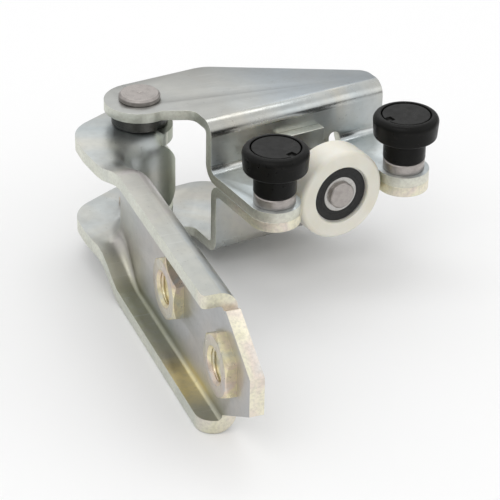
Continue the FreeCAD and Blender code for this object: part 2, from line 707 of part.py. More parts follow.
def outer_ring():
    """Outer ring, with a step at each end in which a seal sits."""
    half = track_depth(d.outer_land)
    rear = d.spacer_length + d.seal_thick
    front = BEARING_FRONT - d.seal_thick
    return turned("bearing_outer", [
        (d.bearing_rad, d.spacer_length), (d.bearing_rad, BEARING_FRONT), (d.seal_rad, BEARING_FRONT),
        (d.seal_rad, front), (d.outer_land, front), (d.outer_land, BEARING_MIDDLE + half),
        (d.outer_land, BEARING_MIDDLE - half, -d.ball_rad - d.run_gap), (d.outer_land, rear),
        (d.seal_rad, rear), (d.seal_rad, d.spacer_length)])


def ball_centres():
    count = int(num(d.ball_count))
    for i in range(count):
        angle = 2 * math.pi * i / count
        spot = V(math.cos(angle), math.sin(angle), 0) * num(d.ball_circle)
        yield spot + V(0, 0, num(BEARING_MIDDLE))


def ball_group():
    """All the balls of the load bearing in one node."""
    group = doc.addObject("Part::Feature", "bearing_balls")
    balls = [Part.makeSphere(num(d.ball_rad), centre) for centre in ball_centres()]
    group.Shape = Part.makeCompound(balls)
    return group


def ball_cage():
    """Ring with a round window for each ball."""
    foot = V(0, 0, num(BEARING_MIDDLE - d.cage_high / 2))
    ring = Part.makeCylinder(num(d.ball_circle + d.cage_half), num(d.cage_high), foot)
    ring = ring.cut(Part.makeCylinder(num(d.ball_circle - d.cage_half), num(d.cage_high), foot))
    for centre in ball_centres():
        outward = V(centre.x, centre.y, 0)
        start = centre - outward / 2
        ring = ring.cut(Part.makeCylinder(num(d.ball_rad + d.run_gap), num(d.ball_circle), start, outward))
    cage = doc.addObject("Part::Feature", "bearing_cage")
    cage.Shape = ring
    return cage


def load_roller():
    spot = dict(x=AXLE_X, y=PLY_FRONT, z=d.axle_z, forward=True)
    back = -2 * d.sheet
    head = BEARING_FRONT
    axle = turned("load_axle", [
        (0, back - d.rivet_head), (d.rivet_rad - d.edge, back - d.rivet_head),
        (d.rivet_rad, back - d.rivet_head + d.edge), (d.rivet_rad, back), (d.bearing_bore, back),
        (d.bearing_bore, head), (d.axle_head_rad, head), (d.axle_head_rad, head + d.axle_head - d.edge),
        (d.axle_head_rad - d.edge, head + d.axle_head), (0, head + d.axle_head)])
    spacer = turned("axle_spacer", [
        (d.bearing_bore, 0), (d.spacer_rad, 0), (d.spacer_rad, d.spacer_length),
        (d.bearing_bore, d.spacer_length)])
    pieces = [axle, spacer, inner_ring(), outer_ring(), ball_group(), ball_cage()]
    for label, start in (("seal_front", BEARING_FRONT - d.seal_thick), ("seal_rear", d.spacer_length)):
        pieces.append(turned(label, [
            (d.inner_rad + d.face_gap, start), (d.seal_rad, start), (d.seal_rad, start + d.seal_thick),
            (d.inner_rad + d.face_gap, start + d.seal_thick)]))
    front = BEARING_FRONT + d.tyre_proud
    rear = front - d.tyre_wide
    pieces.append(turned("load_tyre", [
        (d.seat_lip, rear), (d.tyre_rad - d.tyre_round, rear),
        (d.tyre_rad, rear + d.tyre_round, d.tyre_round),
        (d.tyre_rad, front - d.tyre_round),
        (d.tyre_rad - d.tyre_round, front, d.tyre_round),
        (d.seat_lip + d.edge, front), (d.seat_lip, front - d.edge), (d.seat_lip, BEARING_FRONT),
        (d.bearing_rad, BEARING_FRONT), (d.bearing_rad, d.spacer_length), (d.seat_lip, d.spacer_length)]))
    for piece in pieces:
        seat(piece, **spot)


# ---------------------------------------------------------------- guide rollers

def guide_roller(side, x):
    spot = dict(x=x, y=d.guide_y, z=d.shelf_top)
    tail = -2 * d.sheet
    ring_foot = d.bush_top + d.ring_play
    top = ring_foot + d.ring_thick
    well = d.ring_rad + d.well_gap
    pin = turned("guide_pin_" + side, [
        (0, tail - d.rivet_head), (d.rivet_rad - d.edge, tail - d.rivet_head),
        (d.rivet_rad, tail - d.rivet_head + d.edge), (d.rivet_rad, tail), (d.guide_pin_rad, tail),
        (d.guide_pin_rad, 0), (d.flange_rad, 0), (d.flange_rad, d.flange_high - d.edge),
        (d.flange_rad - d.edge, d.flange_high), (d.journal_rad, d.flange_high), (d.journal_rad, top),
        (0, top)])
    ring = turned("guide_ring_" + side, [
        (d.journal_rad, ring_foot), (d.ring_rad, ring_foot), (d.ring_rad, top), (d.journal_rad, top)])
    bush = turned("guide_bush_" + side, [
        (d.journal_rad + d.run_gap, d.roller_base), (d.bush_rad, d.roller_base), (d.bush_rad, d.bush_top),
        (d.journal_rad + d.run_gap, d.bush_top)])
    shell = turned("guide_shell_" + side, [
        (d.bush_rad, d.roller_base), (d.hub_rad - d.edge, d.roller_base),
        (d.hub_rad, d.roller_base + d.edge),
        (d.hub_rad, d.hub_top), (d.disc_edge, d.hub_top),
        (d.disc_rad, d.hub_top + d.disc_round, d.disc_round),
        (d.disc_rad, d.disc_top - d.disc_round), (d.disc_edge, d.disc_top, d.disc_round),
        (d.cap_rad, d.disc_top), (d.cap_rad, d.cap_seat), (well, d.cap_seat), (well, d.bush_top),
        (d.bush_rad, d.bush_top)])
    cap = turned("guide_cap_" + side, [
        (0, d.cap_seat), (d.cap_rad, d.cap_seat), (d.cap_rad, d.cap_step), (d.cap_face, d.cap_step),
        (d.cap_face, d.cap_top), (0, d.cap_top)])
    notch = new_sketch(cap, "notch_outline_" + side, "XY", d.cap_top)
    box(notch, d.cap_face - d.notch_run, -d.notch_half, d.cap_face + SEAM, d.notch_half)
    cut(cap, "notch_" + side, notch, d.notch_deep)
    for piece in (pin, ring, bush, shell):
        seat(piece, **spot)
    seat(cap, spin=NOTCH_TURN[side], **spot)


arm_bracket()
thread_insert("thread_insert_rear", d.hole_pitch / 2)
thread_insert("thread_insert_front", -d.hole_pitch / 2)
hinge_bush("hinge_bush_upper", d.lobe_top, 1)
hinge_bush("hinge_bush_lower", d.lobe_bottom, -1)
top_bracket()
lower_bracket()
hinge_pieces()
load_roller()
guide_roller("left", d.guide_left)
guide_roller("right", GUIDE_RIGHT)
doc.recompute()

# ---------------------------------------------------------------- checks and files

for item in doc.Objects:
    if "Invalid" in item.State or "Error" in item.State:
        raise RuntimeError("%s did not build: %s" % (item.Label, item.State))
nodes = [item for item in doc.Objects if item.TypeId in ("PartDesign::Body", "Part::Feature")]
for node in nodes:
    if node.Shape.isNull() or not node.Shape.isValid() or not node.Shape.Solids:
        raise RuntimeError(node.Label + " has no valid solid")
os.makedirs("parts", exist_ok=True)
for node in nodes:
    node.Shape.exportStep("parts/%s.step" % node.Label)
    print("%-22s %d solid(s) %10.1f mm3" % (node.Label, len(node.Shape.Solids), node.Shape.Volume))
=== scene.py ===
import bmesh
import bpy
import json
import math
import numpy as np
from mathutils import Matrix, Vector
from mathutils.bvhtree import BVHTree


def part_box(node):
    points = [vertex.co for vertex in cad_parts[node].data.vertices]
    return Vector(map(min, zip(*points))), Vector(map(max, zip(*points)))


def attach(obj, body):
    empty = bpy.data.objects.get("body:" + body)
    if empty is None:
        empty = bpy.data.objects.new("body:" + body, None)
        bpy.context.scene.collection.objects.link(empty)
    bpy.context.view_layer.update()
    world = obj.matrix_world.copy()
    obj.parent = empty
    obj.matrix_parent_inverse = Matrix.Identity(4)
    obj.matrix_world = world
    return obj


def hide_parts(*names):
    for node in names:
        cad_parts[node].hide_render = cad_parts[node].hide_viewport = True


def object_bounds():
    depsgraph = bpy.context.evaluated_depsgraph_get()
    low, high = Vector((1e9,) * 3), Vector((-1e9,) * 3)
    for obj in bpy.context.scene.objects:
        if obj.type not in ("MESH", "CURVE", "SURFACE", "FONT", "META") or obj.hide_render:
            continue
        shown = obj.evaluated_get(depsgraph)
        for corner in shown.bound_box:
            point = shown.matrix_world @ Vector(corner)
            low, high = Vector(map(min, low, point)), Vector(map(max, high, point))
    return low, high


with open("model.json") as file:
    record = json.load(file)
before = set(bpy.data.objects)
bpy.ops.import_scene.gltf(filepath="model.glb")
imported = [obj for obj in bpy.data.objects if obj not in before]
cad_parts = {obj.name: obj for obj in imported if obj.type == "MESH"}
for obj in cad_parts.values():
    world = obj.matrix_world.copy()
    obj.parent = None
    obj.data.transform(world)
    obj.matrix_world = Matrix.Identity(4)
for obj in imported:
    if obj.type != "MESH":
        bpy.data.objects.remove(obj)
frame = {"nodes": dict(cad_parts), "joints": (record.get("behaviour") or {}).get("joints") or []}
cad_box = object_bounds()

MM = 0.001
ARM_SHEET = 4.5 * MM
CARRIAGE_SHEET = 3.5 * MM

TURN_STEPS = 96               # facets around a turned piece
ARC_STEP = 0.18               # radians from one point of a rounding to the next
ARC_POINTS = 3                # fewest points on a rounding
FLAT_SUPPORT = 0.06 * MM      # from a rounding to the extra point on the flat beside it
SEAM = 1e-7                   # metres: points nearer than this become one
ON_AXIS = 1e-9                # metres: a radius under this is a pole
CRISP = math.radians(38)      # faces that meet more sharply than this keep a crisp edge
UPRIGHT = 0.9                 # height share of an axis above which it counts as upright


# ---------------------------------------------------------------- shapes

def axes_for(axis):
    """Three unit vectors, the last along axis and the first level where it can be."""
    along = np.array(axis, float)
    along /= np.linalg.norm(along)
    guess = np.array((0.0, 1.0, 0.0) if abs(along[2]) >= UPRIGHT else (0.0, 0.0, 1.0))
    side = np.cross(guess, along)
    side /= np.linalg.norm(side)
    return side, np.cross(along, side), along


def reach(node, centre, axis):
    """Least and greatest distance from an axis, and lowest and highest place along it, of a CAD node."""
    mesh = frame["nodes"][node].data
    flat = np.empty(len(mesh.vertices) * 3)
    mesh.vertices.foreach_get("co", flat)
    offset = flat.reshape(-1, 3) - np.array(centre)
    along = offset @ axes_for(axis)[2]
    radius = np.sqrt(np.maximum((offset ** 2).sum(1) - along ** 2, 0))
    return radius.min(), radius.max(), along.min(), along.max()


def rounded(corners):
    """Profile through (radius, along, rounding) corners. A rounding is a circular arc that touches both
    sides: with a and b its ends as seen from its middle and w the angle between them, its points are
    middle + (sin((1 - s) w) a + sin(s w) b) / sin(w) for s from 0 to 1. One more point a little way along
    each side keeps the shading of the flats."""
    corners = [(*corner, 0.0)[:3] for corner in corners]
    runs = []
    for i, (x, y, size) in enumerate(corners):
        here = np.array((x, y))
        if size <= 0:
            runs.append(here)
            continue
        before = np.array(corners[i - 1][:2]) - here
        after = np.array(corners[(i + 1) % len(corners)][:2]) - here
        before /= np.linalg.norm(before)
        after /= np.linalg.norm(after)
        half = math.acos(np.clip(before @ after, -1, 1)) / 2
        run = size / math.tan(half)
        middle = here + (before + after) / np.linalg.norm(before + after) * size / math.sin(half)
        first, last = here + before * run, here + after * run
        sweep = math.pi - 2 * half
        share = np.linspace(0, 1, max(ARC_POINTS, int(sweep / ARC_STEP)))[:, None]
        arc = np.sin((1 - share) * sweep) * (first - middle) + np.sin(share * sweep) * (last - middle)
        runs += [first + before * FLAT_SUPPORT, middle + arc / math.sin(sweep), last + after * FLAT_SUPPORT]
    return np.vstack(runs)


def add_object(name, vertices, faces, uv=None):
    """A mesh object from arrays of points and faces, with one (u, v) for each point where uv is given."""
    mesh = bpy.data.meshes.new(name)
    mesh.from_pydata(vertices.tolist(), [], faces.tolist())
    if uv is not None:
        layer = mesh.uv_layers.new(name="turn")
        corner = np.empty(len(mesh.loops), int)
        mesh.loops.foreach_get("vertex_index", corner)
        layer.data.foreach_set("uv", uv[corner].astype(np.float32).ravel())
    mesh.validate()
    piece = bpy.data.objects.new(name, mesh)
    bpy.context.scene.collection.objects.link(piece)
    return piece


def close_up(piece):
    """Merge the points on seams and poles, point the faces outwards and shade smoothly."""
    work = bmesh.new()
    work.from_mesh(piece.data)
    bmesh.ops.remove_doubles(work, verts=work.verts, dist=SEAM)
    bmesh.ops.recalc_face_normals(work, faces=work.faces)
    work.to_mesh(piece.data)
    work.free()
    piece.data.shade_smooth()
    piece.data.set_sharp_from_angle(angle=CRISP)
    return piece


def ring_surface(name, radius, along, centre, axis):
    """Closed surface from two arrays indexed by (place on the profile, angle): each point is
    centre + radius * (cos(angle) * side + sin(angle) * up) + along * axis. The profile closes on itself,
    but for one that starts on the axis, whose two ends are the piece's poles. In the UV map, u is how far
    round the piece a point lies, from 0 to 1 and back, and v is its distance along the profile."""
    rows, columns = radius.shape
    angle = np.linspace(0, 2 * math.pi, columns, endpoint=False)
    side, up, forward = axes_for(axis)
    spots = (np.array(centre) + (radius * np.cos(angle))[..., None] * side
             + (radius * np.sin(angle))[..., None] * up + along[..., None] * forward)
    index = np.arange(rows * columns).reshape(rows, columns)
    down, across = np.roll(index, -1, 0), np.roll(index, -1, 1)
    faces = np.stack([index, across, np.roll(down, -1, 1), down], -1)
    if radius[0].max() < ON_AXIS:
        faces = faces[:-1]
    step = np.hypot(np.diff(radius[:, 0]), np.diff(along[:, 0]))
    length = np.concatenate([[0], np.cumsum(step)])
    uv = np.stack([np.broadcast_to(np.abs(angle / math.pi - 1), radius.shape),
                   np.broadcast_to(length[:, None], radius.shape)], -1)
    return close_up(add_object(name, spots.reshape(-1, 3), faces.reshape(-1, 4), uv.reshape(-1, 2)))


def turned(name, centre, axis, corners):
    """Surface of revolution: the rounded profile's (radius, along) points carried round the axis."""
    profile = rounded(corners)
    shape = (len(profile), TURN_STEPS)
    radius = np.broadcast_to(profile[:, :1], shape)
    along = np.broadcast_to(profile[:, 1:], shape)
    return ring_surface(name, radius, along, centre, axis)


def fit(piece, body, finish, *nodes):
    """Give a piece the material of its (slot, material) finish and its body, and let it stand for its CAD
    nodes. The slot is not used.
    """
    slot, material = finish
    piece.data.materials.clear()
    piece.data.materials.append(material)
    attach(piece, body)
    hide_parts(*nodes)


# ---------------------------------------------------------------- materials

NOISE_LOW, NOISE_HIGH = 0.3, 0.7      # nearly all of a noise texture's values lie between these
MIX_FACTOR, MIX_FIRST, MIX_SECOND, MIX_RESULT = 0, 6, 7, 2    # a colour mix node's sockets
METAL = 1.0


def opaque(colour):
    """A plain colour with its alpha. A socket stays as it is."""
    return colour if isinstance(colour, bpy.types.NodeSocket) else (*colour, 1)


def set_ramp(ramp, stops):
    """Give a ramp node its (place, colour) stops, lowest first."""
    marks = ramp.color_ramp.elements
    while len(marks) < len(stops):
        marks.new(0.5)        # moved to its own place below
    for mark, (place, colour) in zip(marks, stops):
        mark.position = place
        mark.color = opaque(colour)


class Finish:
    """A node material with one Principled shader."""

    def __init__(self, name, colour, roughness, metallic=0.0):
        self.material = bpy.data.materials.new(name)
        self.material.use_nodes = True
        self.nodes = self.material.node_tree.nodes
        self.links = self.material.node_tree.links
        self.shader = self.nodes["Principled BSDF"]
        self.shader.inputs["Base Color"].default_value = opaque(colour)
        self.shader.inputs["Roughness"].default_value = roughness
        self.shader.inputs["Metallic"].default_value = metallic
        self.where = self.add("ShaderNodeTexCoord").outputs["Object"]

    def add(self, kind, **settings):
        """A new node with these settings."""
        node = self.nodes.new(kind)
        for key, value in settings.items():
            setattr(node, key, value)
        return node

    def feed(self, node, socket, value):
        """Link another node's output to a socket, or set a plain value on it."""
        if isinstance(value, bpy.types.NodeSocket):
            self.links.new(value, node.inputs[socket])
        else:
            node.inputs[socket].default_value = value

    def set(self, socket, source):
        """Link a socket of the shader."""
        self.feed(self.shader, socket, source)

    def painted(self, attribute):
        """The value that the faces carry under this name."""
        return self.add("ShaderNodeAttribute", attribute_name=attribute).outputs["Fac"]

    def turn_uv(self):
        """The map that runs round a turned piece."""
        return self.add("ShaderNodeUVMap", uv_map="turn").outputs["UV"]

    def noise(self, scale, detail, stretch=None, distortion=0.0, source=None):
        """Noise of so many blotches to the metre; stretch squeezes it along an axis."""
        texture = self.add("ShaderNodeTexNoise")
        texture.inputs["Scale"].default_value = scale
        texture.inputs["Detail"].default_value = detail
        texture.inputs["Distortion"].default_value = distortion
        spot = source or self.where
        if stretch:
            mapping = self.add("ShaderNodeMapping")
            mapping.inputs["Scale"].default_value = stretch
            self.feed(mapping, "Vector", spot)
            spot = mapping.outputs["Vector"]
        self.feed(texture, "Vector", spot)
        return texture.outputs["Fac"]

    def ramp(self, factor, stops):
        """Colour ramp of (place, colour) stops."""
        ramp = self.add("ShaderNodeValToRGB")
        set_ramp(ramp, stops)
        self.feed(ramp, "Fac", factor)
        return ramp.outputs["Color"]

    def remap(self, factor, low, high, new_low, new_high):
        """Factor's low ... high carried to new_low ... new_high, and held there beyond."""
        node = self.add("ShaderNodeMapRange")
        ends = {"From Min": low, "From Max": high, "To Min": new_low, "To Max": new_high}
        for socket, value in ends.items():
            node.inputs[socket].default_value = value
        self.feed(node, "Value", factor)
        return node.outputs["Result"]

    def mask(self, factor, start, full, amount):
        """0 where factor is under start, rising to amount where it is over full."""
        return self.remap(factor, start, full, 0.0, amount)

    def spread(self, noise, least, most):
        """A noise's usual range carried to least ... most."""
        return self.remap(noise, NOISE_LOW, NOISE_HIGH, least, most)

    def mix(self, factor, first, second):
        """The first colour where factor is 0, the second where it is 1."""
        node = self.add("ShaderNodeMix", data_type="RGBA")
        self.feed(node, MIX_FACTOR, factor)
        self.feed(node, MIX_FIRST, opaque(first))
        self.feed(node, MIX_SECOND, opaque(second))
        return node.outputs[MIX_RESULT]

    def reckon(self, operation, first, second):
        """One arithmetic operation on two sockets or numbers."""
        node = self.add("ShaderNodeMath", operation=operation)
        self.feed(node, 0, first)
        self.feed(node, 1, second)
        return node.outputs[0]

    def plus(self, first, second):
        """The sum of two sockets or numbers."""
        return self.reckon("ADD", first, second)

    def times(self, first, second):
        """The product of two sockets or numbers."""
        return self.reckon("MULTIPLY", first, second)

    def band(self, axis, low, high, soft, amount=1.0):
        """Mask that is amount between low and high along an axis and fades over soft on both sides."""
        split = self.add("ShaderNodeSeparateXYZ")
        self.feed(split, "Vector", self.where)
        place = split.outputs[axis]
        rise = self.remap(place, low - soft, low + soft, 0.0, amount)
        fall = self.remap(place, high - soft, high + soft, 1.0, 0.0)
        return self.times(rise, fall)

    def patch(self, amount, spans):
        """Mask that is amount where all the spans overlap."""
        for stretch in spans:
            amount = self.times(self.band(*stretch), amount)
        return amount

    def bump(self, *layers):
        """Bump from (height, depth in metres) layers."""
        normal = None
        for height, depth in layers:
            node = self.add("ShaderNodeBump")
            node.inputs["Strength"].default_value = 1.0
            node.inputs["Distance"].default_value = depth
            self.feed(node, "Height", height)
            if normal:
                self.feed(node, "Normal", normal)
            normal = node.outputs["Normal"]
        self.set("Normal", normal)


ZINC = (0.50, 0.51, 0.50)
ZINC_CLOUDS = (
    (0.30, (0.44, 0.48, 0.49)), (0.45, (0.50, 0.52, 0.51)), (0.60, (0.54, 0.53, 0.48)),
    (0.74, (0.52, 0.48, 0.49)))
ZINC_MOTTLE = (0.36, 0.37, 0.36)
ZINC_SCRATCH = (0.70, 0.70, 0.69)
ZINC_PIT = (0.16, 0.16, 0.15)
SHEARED_CLOUDS = ((0.35, (0.64, 0.66, 0.60)), (0.65, (0.73, 0.74, 0.66)))
WARM_CLOUDS = (
    (0.32, (0.80, 0.77, 0.58)), (0.48, (0.88, 0.84, 0.68)), (0.62, (0.82, 0.73, 0.65)),
    (0.78, (0.76, 0.75, 0.73)))
SHEARED_GRAIN = (0.45, 0.43, 0.38)
SHEARED_DULLER = 0.08         # how much rougher a sheared edge is
BEND_SMOOTHER = 0.10          # how much smoother a bend is


def zinc_plate(name, patches=(), blush=(), smoother=BEND_SMOOTHER):
    """Bright zinc plating: a matte, faintly mottled grey with straw and rose clouds, fine handling scratches
    and pits. Faces with the attribute "cut" are sheared edges: paler, grainy and duller, and faces with the
    attribute "bend" are smoother. Each patch (colour, amount, spans) tints what lies inside all its
    (axis, low, high, soft) spans, and each blush (amount, spans) warms the sheared edges there."""
    zinc = Finish(name, ZINC, 0.4, METAL)
    tint = zinc.ramp(zinc.noise(30, 4, distortion=0.8), ZINC_CLOUDS)
    for colour, amount, spans in patches:
        tint = zinc.mix(zinc.patch(amount, spans), tint, colour)
    mottle = zinc.noise(420, 4)
    tint = zinc.mix(zinc.mask(mottle, 0.42, 0.68, 0.22), tint, ZINC_MOTTLE)
    scratch = zinc.noise(70, 2, stretch=(1, 26, 26), distortion=0.3)
    tint = zinc.mix(zinc.mask(scratch, 0.66, 0.70, 0.15), tint, ZINC_SCRATCH)
    pit = zinc.noise(900, 1)
    tint = zinc.mix(zinc.mask(pit, 0.71, 0.75, 0.22), tint, ZINC_PIT)
    cut = zinc.painted("cut")
    shear = zinc.noise(1100, 3)
    edge = zinc.ramp(zinc.noise(90, 3, distortion=0.5), SHEARED_CLOUDS)
    warm = zinc.ramp(zinc.noise(90, 3, distortion=0.5), WARM_CLOUDS)
    for amount, spans in blush:
        edge = zinc.mix(zinc.patch(amount, spans), edge, warm)
    edge = zinc.mix(zinc.mask(shear, 0.4, 0.7, 0.35), edge, SHEARED_GRAIN)
    zinc.set("Base Color", zinc.mix(cut, tint, edge))
    dull = zinc.spread(zinc.noise(110, 3), 0.30, 0.44)
    bend = zinc.painted("bend")
    worn = zinc.plus(dull, zinc.times(cut, SHEARED_DULLER))
    zinc.set("Roughness", zinc.plus(worn, zinc.times(bend, -smoother)))
    ripple = zinc.noise(65, 2)
    zinc.bump((ripple, 0.10 * MM), (mottle, 0.012 * MM), (zinc.times(shear, cut), 0.06 * MM))
    return zinc.material


YELLOW = (0.60, 0.55, 0.42)
YELLOW_CLOUDS = (
    (0.32, (0.62, 0.62, 0.52)), (0.45, (0.84, 0.76, 0.50)), (0.60, (0.80, 0.66, 0.54)),
    (0.76, (0.66, 0.66, 0.64)))
YELLOW_MOTTLE = (0.36, 0.33, 0.26)
CROWN_GREY = (0.42, 0.41, 0.42)
CROWN_DEPTH, CROWN_SOFT = 0.1 * MM, 0.05 * MM
PAST_THE_END = -1.0           # metres: a band that starts here is open on that side


def zinc_yellow():
    """Warmer zinc on the nuts and clip, with straw, rose and green clouds. The nuts' crowns are greyer."""
    zinc = Finish("yellow zinc", YELLOW, 0.32, METAL)
    tint = zinc.ramp(zinc.noise(120, 3, distortion=0.6), YELLOW_CLOUDS)
    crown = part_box("thread_insert_front")[0].x + CROWN_DEPTH
    tint = zinc.mix(zinc.band("X", PAST_THE_END, crown, CROWN_SOFT, 0.6), tint, CROWN_GREY)
    mottle = zinc.noise(900, 3)
    zinc.set("Base Color", zinc.mix(zinc.mask(mottle, 0.45, 0.7, 0.25), tint, YELLOW_MOTTLE))
    zinc.set("Roughness", zinc.spread(zinc.noise(400, 3), 0.26, 0.42))
    zinc.bump((mottle, 0.008 * MM))
    return zinc.material


STAIN_SHARE = 0.72            # how bright a stain on turned steel is, as a share of the steel


def turned_steel(name, colour, roughness):
    """Lathe-turned steel: fine lines round the piece, from its own UV map, and darker stains."""
    steel = Finish(name, colour, roughness, METAL)
    lines = steel.noise(1, 2, stretch=(3, 9000, 1), source=steel.turn_uv())
    steel.set("Roughness", steel.spread(lines, roughness - 0.06, roughness + 0.10))
    stained = tuple(STAIN_SHARE * channel for channel in colour)
    steel.set("Base Color", steel.mix(steel.mask(steel.noise(500, 4), 0.45, 0.75, 0.7), colour, stained))
    steel.bump((lines, 0.004 * MM))
    return steel.material


def plain_metal(name, colour, roughness):
    """Metal of one colour, unevenly smooth."""
    metal = Finish(name, colour, roughness, METAL)
    metal.set("Roughness", metal.spread(metal.noise(700, 3), roughness - 0.05, roughness + 0.08))
    return metal.material


JET = (0.007, 0.007, 0.007)
JET_CLEAN, JET_SCUFF = (0.005, 0.005, 0.0045), (0.020, 0.018, 0.015)


def black_plastic():
    """Moulded black plastic, satin, with a fine grain and faint pale scuffs."""
    plastic = Finish("black plastic", JET, 0.42)
    scuff = plastic.noise(330, 5, stretch=(1, 1, 2.2), distortion=1.2)
    plastic.set("Base Color", plastic.mix(plastic.mask(scuff, 0.60, 0.74, 0.45), JET_CLEAN, JET_SCUFF))
    plastic.set("Roughness", plastic.spread(plastic.noise(500, 3), 0.26, 0.42))
    plastic.shader.inputs["Specular IOR Level"].default_value = 0.14
    plastic.bump((plastic.noise(2600, 2), 0.010 * MM), (plastic.noise(150, 2), 0.03 * MM))
    return plastic.material


CREAM = (0.86, 0.83, 0.72)
CREAM_CLOUDS = ((0.35, (0.82, 0.80, 0.72)), (0.65, (0.79, 0.76, 0.66)))


def nylon():
    """Natural nylon: creamy and slightly translucent, with a faint turned texture."""
    cream = Finish("natural nylon", CREAM, 0.38)
    cream.set("Base Color", cream.ramp(cream.noise(130, 3), CREAM_CLOUDS))
    cream.shader.inputs["Subsurface Weight"].default_value = 0.35
    cream.shader.inputs["Subsurface Radius"].default_value = (1.0, 0.8, 0.5)
    cream.shader.inputs["Subsurface Scale"].default_value = 2.0 * MM
    lines = cream.noise(1, 2, stretch=(2, 3000, 1), source=cream.turn_uv())
    cream.bump((lines, 0.012 * MM), (cream.noise(400, 3), 0.02 * MM))
    cream.set("Roughness", cream.spread(lines, 0.34, 0.46))
    return cream.material


def plain_plastic(name, colour, roughness):
    """Plastic or rubber of one colour with a fine grain."""
    plastic = Finish(name, colour, roughness)
    plastic.set("Roughness", plastic.spread(plastic.noise(900, 3), roughness - 0.06, roughness + 0.08))
    plastic.bump((plastic.noise(2200, 2), 0.006 * MM))
    return plastic.material


def span(axis, low, high, soft):
    """A stretch along an axis and the width over which it fades, given in millimetres. An end that lies
    past the piece leaves that side open."""
    return axis, low * MM, high * MM, soft * MM


OLIVE = (0.38, 0.37, 0.27)
# painted shade: a darker olive laid on part of the arm's lower flange
PAINTED_SHADE_OLIVE = (0.27, 0.28, 0.21)
GREEN_GREY = (0.38, 0.41, 0.30)
# painted glow: a bright straw laid on part of the arm's lower flange
STRAW = (0.84, 0.73, 0.40)
LILAC = (0.45, 0.41, 0.43)
# painted reflection: a near-white blue that makes the upper plate's shelves look lit
PAINTED_SHEEN_BLUE = (0.78, 0.87, 0.91)
# painted shade: a darker blue-grey and a grey for the upper plate's top face
PAINTED_SHADE_BLUE = (0.37, 0.41, 0.44)
GREY = (0.38, 0.38, 0.36)
WARM_GREY = (0.43, 0.43, 0.39)

WEB_INSIDE = [span("X", -60, -4.4, 0.3), span("Z", -17, 17, 2), span("Y", -90, 58, 6)]
UPPER_FLANGE = [span("Z", 22.6, 50, 0.05)]
LOWER_FLANGE = [span("Z", -23, -19, 1.5)]
LOWER_BLEND = [span("X", -60, -5, 0.5), span("Z", -22, -12, 2), span("Y", 40, 74, 6)]
# painted shade: darker olive over the lower flange from 22 to 62 mm along Y
FLANGE_PAINTED_SHADE = LOWER_FLANGE + [span("Y", 22, 62, 7)]
# painted glow: bright straw over the lower flange from -8 to 12 mm along Y
FLANGE_PAINTED_GLOW = LOWER_FLANGE + [span("Y", -8, 12, 5)]
LOBE_WRAP = [span("X", 14, 60, 3)]
ARM_END = [span("Y", -80, -18, 4)]
# two of these patches are painted light: shade and a glow on the lower flange
ARM_ZINC = "zinc_plate", zinc_plate("zinc on the arm", [
    (LILAC, 0.5, WEB_INSIDE), (WARM_GREY, 0.7, UPPER_FLANGE), (OLIVE, 0.8, LOWER_FLANGE),
    (OLIVE, 0.6, LOWER_BLEND), (PAINTED_SHADE_OLIVE, 0.6, FLANGE_PAINTED_SHADE), (STRAW, 0.8, FLANGE_PAINTED_GLOW),
    (GREEN_GREY, 0.7, LOBE_WRAP)], [(1.0, ARM_END)], smoother=0.0)

TOP_FACE = span("Z", 27.03, 50, 0.03)
# painted shade: the top face is darkened, grey on the hinge side and blue-grey on the far side
HINGE_SIDE_PAINTED_SHADE = [TOP_FACE, span("X", -30, 45, 12)]
FAR_SIDE_PAINTED_SHADE = [TOP_FACE, span("X", 45, 200, 12)]
# painted reflection: everything below 9 mm is painted a near-white blue
SHELF_PAINTED_SHEEN = [span("Z", -30, 9, 2)]
SHELF_EDGES = [span("Z", -30, 8, 2)]
# the top face's patches are painted shade and the shelves' patch is a painted reflection
TOP_ZINC = "zinc_plate", zinc_plate("zinc on the upper carriage plate", [
    (GREY, 0.8, HINGE_SIDE_PAINTED_SHADE), (PAINTED_SHADE_BLUE, 0.8, FAR_SIDE_PAINTED_SHADE), (PAINTED_SHEEN_BLUE, 0.95, SHELF_PAINTED_SHEEN)], [(0.4, SHELF_EDGES)])

RIGHT_END = [span("X", 26, 200, 4), span("Y", -60, 60, 4)]
LOWER_ZINC = "zinc_plate", zinc_plate("zinc on the lower carriage plate", blush=[(1.0, RIGHT_END)])

YELLOW_ZINC = "zinc_yellow", zinc_yellow()
PIN_STEEL = "pin_steel", turned_steel("turned pin steel", (0.42, 0.39, 0.37), 0.30)
RING_STEEL = "bearing_steel", turned_steel("ground ring steel", (0.50, 0.49, 0.47), 0.24)
BRONZE = plain_metal("sintered bronze", (0.50, 0.36, 0.20), 0.42)
BALL_STEEL = plain_metal("ball steel", (0.75, 0.75, 0.76), 0.12)
BLACK = "black_plastic", black_plastic()
NYLON = "nylon", nylon()
RUBBER = "seal_rubber", plain_plastic("seal rubber", (0.008, 0.008, 0.008), 0.6)
DARK = "dark_ring", turned_steel("dark hinge ring", (0.10, 0.10, 0.095), 0.30)
BUSH = plain_plastic("bush plastic", (0.70, 0.68, 0.62), 0.5)


# ---------------------------------------------------------------- pressed brackets

BEND_STRIP = 2.0 * MM         # a bend's faces are narrower than this
EDGE_BREAK = 0.35 * MM        # rounding that tumbling and plating leave on a sheared edge
EDGE_TURN = math.radians(40)  # edges that turn more than this are rounded
EDGE_STEPS = 3
WELD = 2e-6                   # metres: the pressing's own points nearer than this become one
FLAT_TURN = math.radians(0.3)  # faces that turn less than this become one
STAND_OFF = 1e-5              # metres below a face at which its depth is measured from
DEEP = 1.2                    # sheets of metal behind a face above which it is a sheared edge


